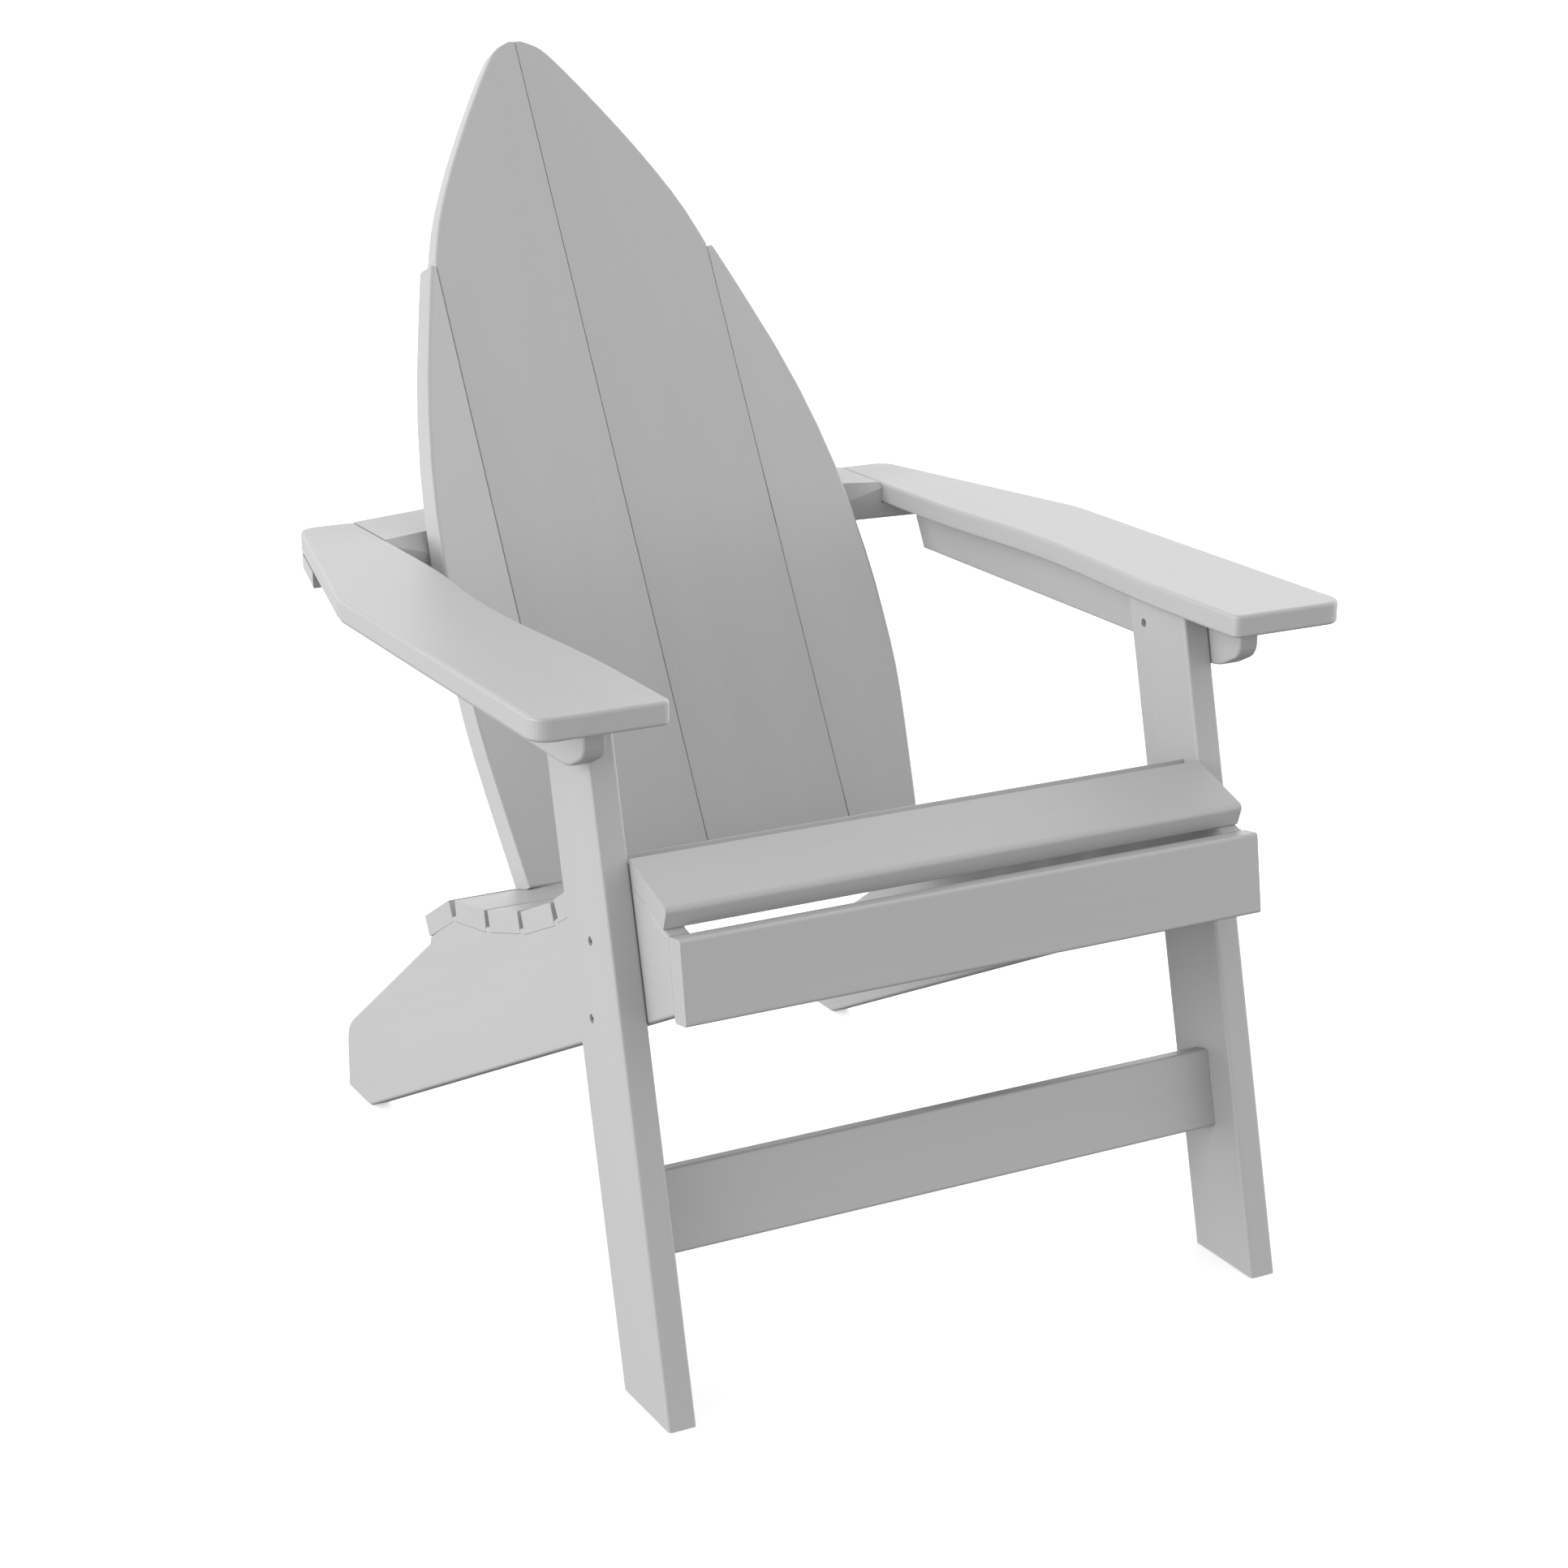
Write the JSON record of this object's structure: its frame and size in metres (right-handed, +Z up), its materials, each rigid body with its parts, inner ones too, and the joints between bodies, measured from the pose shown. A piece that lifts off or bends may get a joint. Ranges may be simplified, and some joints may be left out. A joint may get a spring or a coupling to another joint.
{
  "type": "adirondack chair",
  "caption": "Slatted garden armchair with a reclined fan-shaped back, a sloping contoured seat, wide flat arms and leaning front legs.",
  "frame": {"origin": "middle of the chair's bounding box in plan, on the ground", "axes": "+Z up, -Y the way a sitter faces, +X to the sitter's left"},
  "size_m": [0.759, 0.948, 1.0166],
  "materials": {
    "lumber": "light grey poly lumber, satin, with a fine brushed grain",
    "screw": "stainless steel, satin"
  },
  "bodies": {
    "root": {"arm_left": "lumber", "arm_rail_left": "lumber", "arm_rail_right": "lumber", "arm_rail_screw_left": "screw", "arm_rail_screw_right": "screw", "arm_right": "lumber", "back_lower_brace": "lumber", "back_slat_centre_left": "lumber", "back_slat_centre_right": "lumber", "back_slat_outer_left": "lumber", "back_slat_outer_right": "lumber", "front_apron": "lumber", "front_leg_left": "lumber", "front_leg_right": "lumber", "front_stretcher": "lumber", "rear_crossbar": "lumber", "seat_front_slat": "lumber", "seat_rail_left": "lumber", "seat_rail_right": "lumber", "seat_rail_screw_1_left": "screw", "seat_rail_screw_1_right": "screw", "seat_rail_screw_2_left": "screw", "seat_rail_screw_2_right": "screw", "seat_slat_1": "lumber", "seat_slat_2": "lumber", "seat_slat_3": "lumber", "seat_slat_4": "lumber", "seat_slat_5": "lumber", "seat_slat_6": "lumber"}
  },
  "joints": []
}
